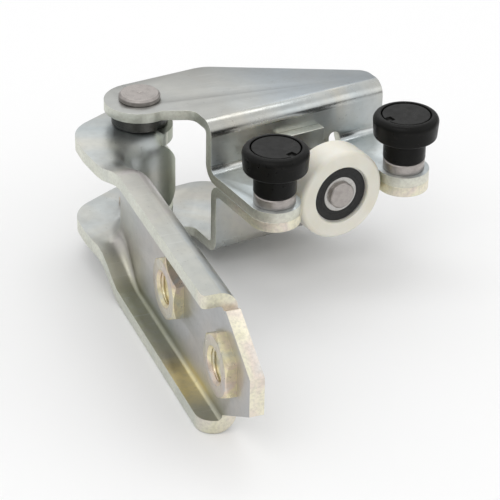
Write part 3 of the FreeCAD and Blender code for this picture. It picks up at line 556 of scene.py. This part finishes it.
def pressing(name, node, body, sheet, finish):
    """The bracket's own shape with its sheared edges slightly rounded. A face is a sheared edge where the
    metal behind it is deeper than the sheet is thick, and part of a bend where it is a narrow strip."""
    piece = bpy.data.objects.new(name, frame["nodes"][node].data.copy())
    bpy.context.scene.collection.objects.link(piece)
    work = bmesh.new()
    work.from_mesh(piece.data)
    bmesh.ops.remove_doubles(work, verts=work.verts, dist=WELD)
    bmesh.ops.dissolve_limit(work, angle_limit=FLAT_TURN, verts=work.verts, edges=work.edges)
    tree = BVHTree.FromBMesh(work)
    cut = work.faces.layers.float.new("cut")
    bend = work.faces.layers.float.new("bend")
    for face in work.faces:
        start = face.calc_center_median()
        depth = tree.ray_cast(start - face.normal * STAND_OFF, -face.normal)[3]
        face[cut] = 1.0 if depth is not None and depth > DEEP * sheet else 0.0
        width = face.calc_area() / max(edge.calc_length() for edge in face.edges)
        face[bend] = 1.0 if not face[cut] and width < BEND_STRIP else 0.0
        face.smooth = True
    work.to_mesh(piece.data)
    work.free()
    bevel = piece.modifiers.new("edge_break", "BEVEL")
    bevel.width = EDGE_BREAK
    bevel.segments = EDGE_STEPS
    bevel.limit_method = "ANGLE"
    bevel.angle_limit = EDGE_TURN
    bevel.harden_normals = True
    bevel.use_clamp_overlap = True
    fit(piece, body, finish, node)


pressing("arm_pressing", "arm_bracket", "arm", ARM_SHEET, ARM_ZINC)
pressing("carriage_top_pressing", "top_bracket", "carriage", CARRIAGE_SHEET, TOP_ZINC)
pressing("carriage_lower_pressing", "lower_bracket", "carriage", CARRIAGE_SHEET, LOWER_ZINC)


# ---------------------------------------------------------------- weld nuts

NUT_COLUMNS = 144
NUT_PILOT = 7.5 * MM          # radius of the pilot in the web's hole
SIDE_TURN = math.pi / 3       # from the middle of one flat to the middle of the next
CROWN_SHARE = 0.97            # the crown's flat circle, as a share of half the width across flats
CHAMFER_SLOPE = math.tan(math.radians(30))
NUT_SUPPORT = 0.05 * MM       # from an edge to the extra row that keeps the face beside it flat
CORNER_IN, CORNER_DOWN = 0.12 * MM, 0.10 * MM    # rounding where the chamfer meets the flats
PITCH = 1.75 * MM
THREAD_DEPTH = 0.75 * MM
THREAD_ROWS = 60
THREAD_START = 0.2 * MM       # from the nut's foot
THREAD_END = 1.0 * MM         # from the nut's crown, and the countersink's width
THREAD_FADE = 0.6 * MM        # length over which the groove runs out


def weld_nut(name, node):
    """Hexagon nut with a chamfered crown and a cut thread. Rows of the grid run from the mouth over the
    crown, down the flats, back along the pilot and up the bore. The flats' radius is half / cos(angle from
    the middle of the flat), and the bore's follows a triangle wave of along / pitch - angle / turn, which is
    a helix."""
    low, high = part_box(node)
    centre = (0, (low.y + high.y) / 2, (low.z + high.z) / 2)
    axis = (-1, 0, 0)
    half = (high.y - low.y) / 2
    crown, foot = -low.x, -high.x
    bore = reach(node, centre, axis)[0]
    angle = np.linspace(0, 2 * math.pi, NUT_COLUMNS, endpoint=False)
    flat = half / np.cos((angle + SIDE_TURN / 2) % SIDE_TURN - SIDE_TURN / 2)
    circle = half * CROWN_SHARE
    shoulder = crown - (flat - circle) * CHAMFER_SLOPE
    mouth = bore + THREAD_END
    rows = [
        (mouth, crown), (mouth + NUT_SUPPORT, crown), (circle, crown),
        (circle + NUT_SUPPORT, crown - NUT_SUPPORT * CHAMFER_SLOPE),
        (flat - CORNER_IN, shoulder + NUT_SUPPORT), (flat, shoulder - CORNER_DOWN), (flat, ARM_SHEET),
        (NUT_PILOT, ARM_SHEET), (NUT_PILOT, foot), (bore + THREAD_START, foot)]
    outside = np.array([[np.broadcast_to(value, NUT_COLUMNS) for value in row] for row in rows])
    end = crown - THREAD_END
    places = np.linspace(foot + THREAD_START, end, THREAD_ROWS)[:, None]
    wave = (places / PITCH - angle / (2 * math.pi)) % 1
    fade = np.minimum(1, (end - places) / THREAD_FADE)
    groove = bore + THREAD_DEPTH * (1 - np.abs(2 * wave - 1)) * fade
    radius = np.vstack([outside[:, 0], groove])
    along = np.vstack([outside[:, 1], np.broadcast_to(places, groove.shape)])
    fit(ring_surface(name, radius, along, centre, axis), "arm", YELLOW_ZINC, node)


weld_nut("weld_nut_front", "thread_insert_front")
weld_nut("weld_nut_rear", "thread_insert_rear")


# ---------------------------------------------------------------- joints and plain rings

JOINTS = {joint["name"]: joint for joint in frame["joints"]}
RING_OUTSIDE, RING_BORE = 0.25 * MM, 0.125 * MM      # roundings of a plain ring's edges


def joint_line(name, way=1):
    """A joint's place and the direction of its axis, or the opposite direction where way is -1."""
    joint = JOINTS[name]
    return joint["pos_m"], [way * share for share in joint["axis"]]


def plain_ring(name, node, line, body, finish):
    """Turned ring: a rectangle with rounded corners, as wide and high as the CAD node, carried round the
    line."""
    inner, outer, low, high = reach(node, *line)
    piece = turned(name, *line, [
        (inner, low, RING_BORE), (outer, low, RING_OUTSIDE), (outer, high, RING_OUTSIDE),
        (inner, high, RING_BORE)])
    fit(piece, body, finish, node)


# ---------------------------------------------------------------- hinge pin

HINGE = joint_line("carriage_hinge")
PIN_SHANK, CLIP_GROOVE = 5 * MM, 4.2 * MM        # radii
HEAD_CHAMFER, TAIL_CHAMFER = 0.7 * MM, 0.6 * MM
HEAD_ROUND, PIN_ROUND = 0.3 * MM, 0.2 * MM
HEAD_UNDER, HEAD_UNDER_HIGH = 0.3 * MM, 0.25 * MM    # bevel under the head, across and up
DIMPLE = 0.9 * MM             # radius of the centre mark in the head
DIMPLE_DEEP = 0.35 * MM
DIMPLE_SHOULDER, SHOULDER_DEEP = 0.5 * MM, 0.12 * MM     # place and depth of the bend in its wall
DIMPLE_ROUND = 0.1 * MM


def hinge_pin():
    """Pin with a chamfered round head and a centre dimple, a clip groove and a chamfered tail: its half
    section carried round the hinge line."""
    _, head, foot, top = reach("hinge_pin", *HINGE)
    seat = reach("hinge_collar", *HINGE)[3] + CARRIAGE_SHEET
    clip_low, clip_high = reach("hinge_clip", *HINGE)[2:]
    piece = turned("hinge_pin_turned", *HINGE, [
        (0, top - DIMPLE_DEEP), (DIMPLE_SHOULDER, top - SHOULDER_DEEP, PIN_ROUND),
        (DIMPLE, top, DIMPLE_ROUND), (head - HEAD_CHAMFER, top, HEAD_ROUND),
        (head, top - HEAD_CHAMFER, HEAD_ROUND), (head, seat + HEAD_UNDER_HIGH, PIN_ROUND),
        (head - HEAD_UNDER, seat), (PIN_SHANK, seat),
        (PIN_SHANK, clip_high), (CLIP_GROOVE, clip_high), (CLIP_GROOVE, clip_low), (PIN_SHANK, clip_low),
        (PIN_SHANK, foot + TAIL_CHAMFER, PIN_ROUND), (PIN_SHANK - TAIL_CHAMFER, foot, PIN_ROUND), (0, foot)])
    fit(piece, "carriage", PIN_STEEL, "hinge_pin")


hinge_pin()
plain_ring("hinge_collar_ring", "hinge_collar", HINGE, "carriage", DARK)
plain_ring("hinge_clip_ring", "hinge_clip", HINGE, "carriage", YELLOW_ZINC)


# ---------------------------------------------------------------- load roller

LOAD = joint_line("load_roller_spin", way=-1)
TREAD_CROWN = 0.12 * MM       # how much higher the tread's middle is than its ends
TREAD_ARC = 20 * MM           # rounding at the tread's middle
TYRE_REAR, TYRE_FRONT = 1.1 * MM, 1.5 * MM       # roundings of the tread's ends
LIP_REAR = 0.3 * MM           # rounding of the rear lip
LIP_CHAMFER = 0.3 * MM        # chamfer of the front lip, and the roundings of its two corners
LIP_ROUND, LIP_CORNER = 0.2 * MM, 0.1 * MM


def load_tyre():
    """Nylon tyre with a crowned tread, moulded round the bearing with a lip over each end: its half section
    carried round the axle."""
    lip, outer, rear, front = reach("load_tyre", *LOAD)
    _, pocket, bearing_rear, bearing_front = reach("bearing_outer", *LOAD)
    piece = turned("load_tyre_nylon", *LOAD, [
        (lip, rear, LIP_REAR), (outer - TREAD_CROWN, rear, TYRE_REAR), (outer, (rear + front) / 2, TREAD_ARC),
        (outer - TREAD_CROWN, front, TYRE_FRONT), (lip + LIP_CHAMFER, front, LIP_ROUND),
        (lip, front - LIP_CHAMFER, LIP_CORNER), (lip, bearing_front), (pocket, bearing_front),
        (pocket, bearing_rear), (lip, bearing_rear)])
    fit(piece, "load_roller", NYLON, "load_tyre")


LAND = 6.05 * MM              # outside radius of the inner ring beside the seal
RING_CHAMFER, LAND_EDGE, WALL_EDGE = 0.3 * MM, 0.15 * MM, 0.08 * MM
SEAL_REBATE = 0.6 * MM        # step in the outer ring that holds a seal


def bearing_inner():
    """Inner ring: a rectangle from the bore to the land, carried round the axle."""
    bore, _, rear, front = reach("bearing_inner", *LOAD)
    ring = turned("bearing_inner_ring", *LOAD, [
        (bore, rear, RING_CHAMFER), (LAND, rear, LAND_EDGE), (LAND, front, LAND_EDGE),
        (bore, front, RING_CHAMFER)])
    fit(ring, "carriage", RING_STEEL, "bearing_inner")


def bearing_outer():
    """Outer ring: a rectangle with a rebate for the seal at each end, carried round the axle."""
    _, outer, rear, front = reach("bearing_outer", *LOAD)
    wall = reach("seal_front", *LOAD)[1]
    rebate = wall - SEAL_REBATE
    ring = turned("bearing_outer_ring", *LOAD, [
        (outer, rear, RING_CHAMFER), (outer, front, RING_CHAMFER), (wall, front, WALL_EDGE),
        (wall, front - SEAL_REBATE), (rebate, front - SEAL_REBATE), (rebate, rear + SEAL_REBATE),
        (wall, rear + SEAL_REBATE), (wall, rear, WALL_EDGE)])
    fit(ring, "load_roller", RING_STEEL, "bearing_outer")


SEAL_DIP = 0.14 * MM          # how far the seal's face lies under its inner lip
RIDGE_DIP = SEAL_DIP / 3
SEAL_RIDGE, SEAL_CHANNEL = 0.5 * MM, 0.9 * MM    # inwards from the seal's outer edge
SEAL_LIP, SEAL_SLOPE = 1.0 * MM, 1.3 * MM        # outwards from the seal's bore
SEAL_EDGE_ROUND, SEAL_ROUND, SLOPE_ROUND, SEAL_BORE_ROUND = 0.08 * MM, 0.1 * MM, 0.15 * MM, 0.12 * MM


def seal(end, outward):
    """Moulded seal: a thin disc with a low ridge near its edge and a raised lip at its bore, carried round
    the axle. Outward is 1 where the face that shows looks along the axle, and -1 where it looks back."""
    inside, outside, low, high = reach("seal_" + end, *LOAD)
    face, back = (high, low) if outward > 0 else (low, high)
    floor_level = face - SEAL_DIP * outward
    ridge_level = face - RIDGE_DIP * outward
    piece = turned("seal_%s_moulded" % end, *LOAD, [
        (inside, back), (outside, back), (outside, floor_level, SEAL_EDGE_ROUND),
        (outside - SEAL_RIDGE, ridge_level, SEAL_ROUND), (outside - SEAL_CHANNEL, floor_level, SEAL_ROUND),
        (inside + SEAL_SLOPE, floor_level, SLOPE_ROUND), (inside + SEAL_LIP, face, SEAL_ROUND),
        (inside, face, SEAL_BORE_ROUND)])
    fit(piece, "load_roller", RUBBER, "seal_" + end)


AXLE_SHANK, AXLE_HEAD = 4 * MM, 4.45 * MM        # radii
AXLE_CHAMFER, AXLE_DOME = 0.4 * MM, 0.03 * MM
AXLE_ROUND, AXLE_UNDER = 0.2 * MM, 0.05 * MM
RIVET_HIGH = 1.6 * MM         # of an upset head, behind the web or under the shelves
RIVET_SIDE, RIVET_FACE = 0.9 * MM, 1.1 * MM      # slope of the axle's upset head
RIVET_ROUND, RIVET_SHOULDER = 0.6 * MM, 0.4 * MM


def load_axle():
    """Axle with a slightly domed head in front of the bearing and an upset rivet head behind the web: its
    half section carried round the axle's line."""
    _, rivet, rear, front = reach("load_axle", *LOAD)
    seat = reach("bearing_inner", *LOAD)[3]
    web = rear + RIVET_HIGH
    piece = turned("load_axle_turned", *LOAD, [
        (0, rear), (rivet - RIVET_FACE, rear, RIVET_ROUND), (rivet, rear + RIVET_SIDE, RIVET_SHOULDER),
        (rivet, web), (AXLE_SHANK, web), (AXLE_SHANK, seat), (AXLE_HEAD, seat, AXLE_UNDER),
        (AXLE_HEAD, front - AXLE_CHAMFER, AXLE_ROUND),
        (AXLE_HEAD - AXLE_CHAMFER, front - AXLE_DOME, AXLE_ROUND), (0, front)])
    fit(piece, "carriage", PIN_STEEL, "load_axle")


load_tyre()
bearing_inner()
bearing_outer()
seal("front", 1)
seal("rear", -1)
load_axle()
plain_ring("axle_spacer_turned", "axle_spacer", LOAD, "carriage", PIN_STEEL)


# ---------------------------------------------------------------- guide rollers

HUB = 7.0 * MM                # radius of the hub
HUB_CHAMFER, FOOT_HIGH = 0.35 * MM, 0.5 * MM     # bevel at the hub's foot, across and up
HUB_ROUND, FOOT_ROUND = 0.12 * MM, 0.3 * MM
NECK, NECK_HIGH, NECK_ROUND = 0.3 * MM, 1.1 * MM, 0.2 * MM       # a step wider than the hub, under the head
HEAD_HIGH = 8.0 * MM
HEAD_TAPER = 0.6 * MM         # how much narrower the head is at its lower edge
HEAD_LOWER_ROUND, HEAD_UPPER_ROUND = 0.9 * MM, 2.2 * MM
WELL, WELL_DEEP, WELL_ROUND = 8.3 * MM, 2.6 * MM, 0.25 * MM      # radius, depth and edge of the cap's well
SMALL_ROUND = 0.1 * MM


def guide_shell(side, line):
    """Moulded shell: hub, neck and tapered head with a well for the cap, its half section carried round the
    pin's line."""
    bore, disc, base, top = reach("guide_shell_" + side, *line)
    head_low = top - HEAD_HIGH
    neck_low = head_low - NECK_HIGH
    well_floor = top - WELL_DEEP
    shell = turned("guide_shell_moulded_" + side, *line, [
        (bore, base, SMALL_ROUND), (HUB - HUB_CHAMFER, base, HUB_ROUND),
        (HUB, base + FOOT_HIGH, FOOT_ROUND), (HUB, neck_low - NECK),
        (HUB + NECK, neck_low, SMALL_ROUND), (HUB + NECK, head_low, NECK_ROUND),
        (disc - HEAD_TAPER, head_low, HEAD_LOWER_ROUND), (disc, top, HEAD_UPPER_ROUND),
        (WELL, top, WELL_ROUND), (WELL, well_floor), (bore, well_floor)])
    fit(shell, "guide_roller_" + side, BLACK, "guide_shell_" + side)


CAP_RADIUS = 7.9 * MM         # of the part that shows; the part below is as wide as its CAD node
CAP_STEP = 1.0 * MM           # height of that lower part
CAP_PROUD = 0.15 * MM         # how far the top stands over its CAD node
CAP_SEAT_ROUND, CAP_STEP_ROUND, CAP_RIM_ROUND = 0.05 * MM, 0.12 * MM, 0.3 * MM
CAP_COLUMNS, CAP_ROWS = 480, 70
CAP_INSET = 0.1 * MM          # from the rim's rounding to the first ring of the flat top
NOTCH_ANGLE = {"left": math.radians(-64.55), "right": math.radians(-166.55)}
NOTCH_HALF, NOTCH_RUN, NOTCH_DEEP = 1.4 * MM, 2.4 * MM, 0.6 * MM
NOTCH_SOFT = 0.15 * MM        # width of its sloping walls


def guide_cap(side, line):
    """Cap sunk in the roller's head: flat, with a rounded rim and one moulded notch. With u along the notch
    and v across it, the top is no higher than top - deep * ease(u - start) * ease(half - |v|), where ease
    runs straight from 0 to 1 over the walls' width."""
    _, seated, seat, cap_top = reach("guide_cap_" + side, *line)
    step, top = seat + CAP_STEP, cap_top + CAP_PROUD
    profile = rounded([
        (0, seat), (seated, seat, CAP_SEAT_ROUND), (seated, step, CAP_SEAT_ROUND),
        (CAP_RADIUS, step, CAP_STEP_ROUND), (CAP_RADIUS, top, CAP_RIM_ROUND), (0, top)])[:-1]
    inward = np.linspace(profile[-1, 0] - CAP_INSET, 0, CAP_ROWS)
    profile = np.vstack([profile, np.stack([inward, np.full_like(inward, top)], -1)])
    angle = np.linspace(0, 2 * math.pi, CAP_COLUMNS, endpoint=False) - NOTCH_ANGLE[side]
    radius = np.broadcast_to(profile[:, :1], (len(profile), CAP_COLUMNS))
    start = CAP_RADIUS - NOTCH_RUN
    along_notch = np.clip((radius * np.cos(angle) - start) / NOTCH_SOFT, 0, 1)
    across_notch = np.clip((NOTCH_HALF - np.abs(radius * np.sin(angle))) / NOTCH_SOFT, 0, 1)
    height = np.minimum(profile[:, 1:], top - NOTCH_DEEP * along_notch * across_notch)
    cap = ring_surface("guide_cap_moulded_" + side, radius, height, *line)
    fit(cap, "guide_roller_" + side, BLACK, "guide_cap_" + side)


STUD_HEAD, STUD_SHANK, JOURNAL = 5.6 * MM, 4 * MM, 3.75 * MM     # radii
STUD_FACE, STUD_SIDE = 0.9 * MM, 0.8 * MM        # slope of the pin's upset head
STUD_ROUND = 0.5 * MM
COLLAR_HIGH = 3.45 * MM       # above the shelf
COLLAR_IN, COLLAR_UP = 0.15 * MM, 0.25 * MM      # bevel at the collar's foot
COLLAR_CHAMFER, COLLAR_ROUND = 0.3 * MM, 0.15 * MM


def guide_pin(side, line):
    """Pin with an upset head under the shelves, a collar on them and a plain journal: its half section
    carried round the pin's line."""
    _, collar, foot, top = reach("guide_pin_" + side, *line)
    under = foot + RIVET_HIGH
    shelf = under + 2 * CARRIAGE_SHEET
    collar_top = shelf + COLLAR_HIGH
    pin = turned("guide_pin_turned_" + side, *line, [
        (0, foot), (STUD_HEAD - STUD_FACE, foot, STUD_ROUND),
        (STUD_HEAD, foot + STUD_SIDE, RIVET_SHOULDER), (STUD_HEAD, under), (STUD_SHANK, under),
        (STUD_SHANK, shelf), (collar - COLLAR_IN, shelf, SMALL_ROUND),
        (collar, shelf + COLLAR_UP, COLLAR_ROUND), (collar, collar_top - COLLAR_CHAMFER, COLLAR_ROUND),
        (collar - COLLAR_CHAMFER, collar_top, SMALL_ROUND), (JOURNAL, collar_top),
        (JOURNAL, top, PIN_ROUND), (0, top)])
    fit(pin, "carriage", PIN_STEEL, "guide_pin_" + side)


def guide_roller(side):
    """One guide roller and its pin, on its joint's line."""
    line = joint_line("guide_%s_spin" % side)
    guide_shell(side, line)
    guide_cap(side, line)
    guide_pin(side, line)


guide_roller("left")
guide_roller("right")


# ---------------------------------------------------------------- CAD nodes that stay as they are

KEPT = {
    "hinge_bush_upper": BRONZE, "hinge_bush_lower": BRONZE, "hinge_shim": BRONZE,
    "bearing_balls": BALL_STEEL, "bearing_cage": BUSH,
    "guide_ring_left": BALL_STEEL, "guide_ring_right": BALL_STEEL,
    "guide_bush_left": BUSH, "guide_bush_right": BUSH,
}
for node, material in KEPT.items():
    slots = frame["nodes"][node].data.materials
    slots.clear()
    slots.append(material)


# ---------------------------------------------------------------- floor, light and camera

FLOOR_HALF = 3.0
FLOOR_GAP = 0.2 * MM          # below the lowest piece
FLOOR_CORNERS = ((-1, -1, 0), (1, -1, 0), (1, 1, 0), (-1, 1, 0))
PALE = (0.93, 0.93, 0.93)


def floor():
    """A plain pale square under the part, its corners at half its width each way."""
    corners = np.array(FLOOR_CORNERS) * FLOOR_HALF
    corners[:, 2] = Vector(cad_box[0]).z - FLOOR_GAP
    ground = add_object("floor", corners, np.array([[0, 1, 2, 3]]))
    pale = Finish("pale floor", PALE, 0.9)
    pale.set("Roughness", pale.remap(pale.noise(3, 1), 0.0, 1.0, 0.88, 0.92))
    ground.data.materials.append(pale.material)


SKY = ((0.0, 0.28), (0.10, 0.42), (0.28, 0.70), (0.50, 0.94), (1.0, 0.86))    # height, brightness


def room():
    """Soft surroundings: brightest part way up and darker towards the horizon, so that bright metal has
    something to show."""
    world = bpy.data.worlds.new("studio")
    bpy.context.scene.world = world
    world.use_nodes = True
    nodes, links = world.node_tree.nodes, world.node_tree.links
    where = nodes.new("ShaderNodeTexCoord")
    split = nodes.new("ShaderNodeSeparateXYZ")
    ramp = nodes.new("ShaderNodeValToRGB")
    links.new(where.outputs["Generated"], split.inputs[0])
    links.new(split.outputs["Z"], ramp.inputs["Fac"])
    links.new(ramp.outputs["Color"], nodes["Background"].inputs["Color"])
    set_ramp(ramp, [(height, (level, level, level)) for height, level in SKY])
    nodes["Background"].inputs["Strength"].default_value = 1.0


LIGHT_AIM = (0.03, 0.04, 0.0)
LIGHTS = (                    # name, place, (width, height), watts
    ("key", (-0.5, -0.5, 0.9), (0.7, 0.5), 1.3),
    ("top", (0.1, 0.28, 0.8), (0.7, 0.22), 0.9),
    ("fill", (0.8, -0.5, 0.5), (0.6, 0.6), 0.6),
    ("rim", (0.2, 0.9, 0.7), (0.9, 0.4), 0.6))


def soft_light(name, spot, size, power):
    """A rectangular light that faces the part."""
    lamp = bpy.data.lights.new(name, "AREA")
    lamp.shape = "RECTANGLE"
    lamp.size, lamp.size_y = size
    lamp.energy = power
    holder = bpy.data.objects.new(name, lamp)
    bpy.context.scene.collection.objects.link(holder)
    way = Vector(LIGHT_AIM) - Vector(spot)
    holder.matrix_world = Matrix.Translation(spot) @ way.to_track_quat("-Z", "Y").to_matrix().to_4x4()


CAMERA_SPOT = (-0.1922, -0.5197, 0.3437)
CAMERA_AZIMUTH, CAMERA_ELEVATION, CAMERA_ROLL = 21.39, 29.92, 1.08
CAMERA_WIDTH = 13.05          # degrees across the frame
CAMERA_NEAR, CAMERA_FAR = 0.05, 20.0


def camera():
    """The camera, turned by its azimuth, tilted by its elevation and rolled."""
    lens = bpy.data.cameras.new("camera")
    lens.angle = math.radians(CAMERA_WIDTH)
    lens.clip_start, lens.clip_end = CAMERA_NEAR, CAMERA_FAR
    holder = bpy.data.objects.new("camera", lens)
    bpy.context.scene.collection.objects.link(holder)
    turn = Matrix.Rotation(math.radians(-CAMERA_AZIMUTH), 4, "Z")
    tilt = Matrix.Rotation(math.radians(90 - CAMERA_ELEVATION), 4, "X")
    roll = Matrix.Rotation(math.radians(CAMERA_ROLL), 4, "Z")
    holder.matrix_world = Matrix.Translation(CAMERA_SPOT) @ turn @ tilt @ roll
    bpy.context.scene.camera = holder


bpy.context.scene.view_settings.view_transform = "Standard"
floor()
room()
for light in LIGHTS:
    soft_light(*light)
camera()
